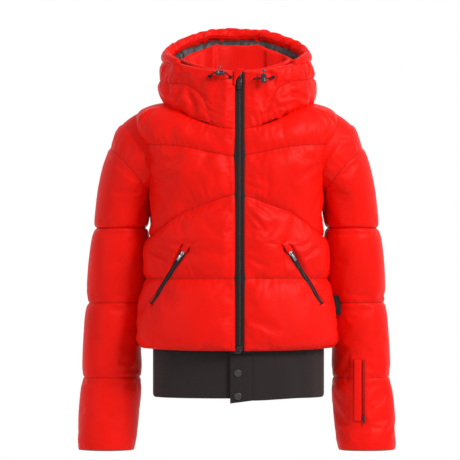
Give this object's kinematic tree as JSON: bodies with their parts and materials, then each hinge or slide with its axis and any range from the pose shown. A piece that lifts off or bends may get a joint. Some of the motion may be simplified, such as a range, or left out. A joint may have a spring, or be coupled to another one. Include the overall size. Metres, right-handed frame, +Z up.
{
  "type": "ski jacket",
  "caption": "Cropped quilted ski jacket with padded hood, stand collar, full front zip, slanted hand pockets, forearm pass pocket and snapped stretch waistband.",
  "frame": {"origin": "centre of the neck opening at the height of the back neck seam", "axes": "+Z up, -Y out of the front, +X towards the wearer's left"},
  "size_m": [0.614, 0.2699, 0.8212],
  "materials": {
    "shell_fabric": "plain woven polyester, soft sheen",
    "lining_fabric": "smooth taffeta",
    "waistband_knit": "matt stretch weave",
    "zip_tape": "woven tape",
    "zip_metal": "dark satin metal",
    "snap_enamel": "black enamel",
    "stud_metal": "satin",
    "lock_plastic": "moulded"
  },
  "bodies": {
    "torso": {"front_panel_right": "shell_fabric", "front_panel_left": "shell_fabric", "back_panel": "shell_fabric", "body_lining": "lining_fabric", "inner_collar": "shell_fabric", "hood_front_right": "shell_fabric", "hood_front_left": "shell_fabric", "hood_skirt": "shell_fabric", "hood_gusset": "shell_fabric", "waistband_right_front": "waistband_knit", "waistband_left_front": "waistband_knit", "waistband_back": "waistband_knit", "placket_stay": "waistband_knit", "snap_cap_1": "snap_enamel", "snap_stud_1": "stud_metal", "snap_stud_2": "stud_metal", "snap_stud_3": "stud_metal", "main_zip_tape_right": "zip_tape", "main_zip_tape_left": "zip_tape", "main_zip_chain": "zip_tape", "main_zip_box": "zip_metal", "pocket_bag_right": "lining_fabric", "pocket_bag_left": "lining_fabric", "pocket_zip_right": "zip_tape", "pocket_zip_left": "zip_tape", "drawcord_right": "zip_tape", "drawcord_left": "zip_tape", "hanger_loop": "zip_tape", "side_label": "zip_tape", "sleeve_cap_right": "shell_fabric", "sleeve_cap_left": "shell_fabric"},
    "hood": {"hood_crown": "shell_fabric", "hood_brim": "shell_fabric", "hood_lining": "lining_fabric"},
    "placket": {"placket_flap": "waistband_knit", "snap_cap_2": "snap_enamel", "snap_cap_3": "snap_enamel"},
    "main_slider": {"main_zip_slider": "zip_metal"},
    "main_pull": {"main_zip_pull": "zip_metal"},
    "pocket_slider_right": {"pocket_right_slider": "zip_metal"},
    "pocket_pull_right": {"pocket_right_pull": "zip_metal"},
    "upper_sleeve_right": {"sleeve_upper_right": "shell_fabric", "elbow_gusset_right": "shell_fabric"},
    "forearm_right": {"sleeve_fore_right": "shell_fabric"},
    "cord_lock_right": {"cord_lock_right": "lock_plastic"},
    "cord_button_right": {"cord_button_right": "lock_plastic"},
    "pocket_slider_left": {"pocket_left_slider": "zip_metal"},
    "pocket_pull_left": {"pocket_left_pull": "zip_metal"},
    "upper_sleeve_left": {"sleeve_upper_left": "shell_fabric", "elbow_gusset_left": "shell_fabric"},
    "forearm_left": {"sleeve_fore_left": "shell_fabric", "pass_welt": "shell_fabric", "pass_zip_tape": "zip_tape"},
    "cord_lock_left": {"cord_lock_left": "lock_plastic"},
    "cord_button_left": {"cord_button_left": "lock_plastic"},
    "pass_slider": {"pass_slider": "zip_metal"},
    "pass_pull": {"pass_pull": "zip_metal"}
  },
  "joints": [
    {"name": "hood_fold", "type": "hinge", "parent": "torso", "child": "hood", "pos_m": [0, -0.065, 0.078], "axis": [1, 0, 0], "range_deg": [0, 40], "deforming": ["hood_gusset"]},
    {"name": "placket_peel", "type": "hinge", "parent": "torso", "child": "placket", "pos_m": [0.03, -0.10872, -0.4845], "axis": [0, 0, 1], "range_deg": [0, 110]},
    {"name": "main_zip_slide", "type": "slide", "parent": "torso", "child": "main_slider", "axis": [0, -0.0298, -0.9996], "range_m": [0, 0.5]},
    {"name": "main_pull_swing", "type": "hinge", "parent": "main_slider", "child": "main_pull", "pos_m": [0.006, -0.11234, 0.05325], "axis": [-1, 0, 0], "range_deg": [0, 150]},
    {"name": "pocket_zip_slide_right", "type": "slide", "parent": "torso", "child": "pocket_slider_right", "axis": [-0.5046, 0.2843, -0.8152], "range_m": [0, 0.088]},
    {"name": "pocket_pull_swing_right", "type": "hinge", "parent": "pocket_slider_right", "child": "pocket_pull_right", "pos_m": [-0.10485, -0.10544, -0.28973], "axis": [-0.7103, 0.4001, 0.5792], "range_deg": [0, 120]},
    {"name": "shoulder_raise_right", "type": "hinge", "parent": "torso", "child": "upper_sleeve_right", "pos_m": [-0.19, 0.01, -0.085], "axis": [0, 1, 0], "range_deg": [0, 60], "deforming": ["sleeve_cap_right"]},
    {"name": "elbow_bend_right", "type": "hinge", "parent": "upper_sleeve_right", "child": "forearm_right", "pos_m": [-0.23775, 0.046, -0.388], "axis": [-0.9703, 0.2419, 0], "range_deg": [0, 70], "deforming": ["elbow_gusset_right"]},
    {"name": "cord_lock_slide_right", "type": "slide", "parent": "torso", "child": "cord_lock_right", "axis": [1, 0, 0], "range_m": [-0.004, 0.004]},
    {"name": "cord_lock_press_right", "type": "slide", "parent": "cord_lock_right", "child": "cord_button_right", "axis": [0, 0, -1], "range_m": [0, 0.0025], "stiffness_N_per_m": 200, "springref_m": -0.001},
    {"name": "pocket_zip_slide_left", "type": "slide", "parent": "torso", "child": "pocket_slider_left", "axis": [0.5046, 0.2843, -0.8152], "range_m": [0, 0.088]},
    {"name": "pocket_pull_swing_left", "type": "hinge", "parent": "pocket_slider_left", "child": "pocket_pull_left", "pos_m": [0.10485, -0.10544, -0.28973], "axis": [-0.7103, -0.4001, -0.5792], "range_deg": [0, 120]},
    {"name": "shoulder_raise_left", "type": "hinge", "parent": "torso", "child": "upper_sleeve_left", "pos_m": [0.19, 0.01, -0.085], "axis": [0, -1, 0], "range_deg": [0, 60], "deforming": ["sleeve_cap_left"]},
    {"name": "elbow_bend_left", "type": "hinge", "parent": "upper_sleeve_left", "child": "forearm_left", "pos_m": [0.23775, 0.046, -0.388], "axis": [-0.9703, -0.2419, 0], "range_deg": [0, 70], "deforming": ["elbow_gusset_left", "side_label"]},
    {"name": "cord_lock_slide_left", "type": "slide", "parent": "torso", "child": "cord_lock_left", "axis": [1, 0, 0], "range_m": [-0.004, 0.004]},
    {"name": "cord_lock_press_left", "type": "slide", "parent": "cord_lock_left", "child": "cord_button_left", "axis": [0, 0, -1], "range_m": [0, 0.0025], "stiffness_N_per_m": 200, "springref_m": -0.001},
    {"name": "pass_zip_slide", "type": "slide", "parent": "forearm_left", "child": "pass_slider", "axis": [0, 0, 1], "range_m": [0, 0.1]},
    {"name": "pass_pull_swing", "type": "hinge", "parent": "pass_slider", "child": "pass_pull", "pos_m": [0.2475, -0.0203, -0.609], "axis": [-1, 0, 0], "range_deg": [0, 120]}
  ]
}
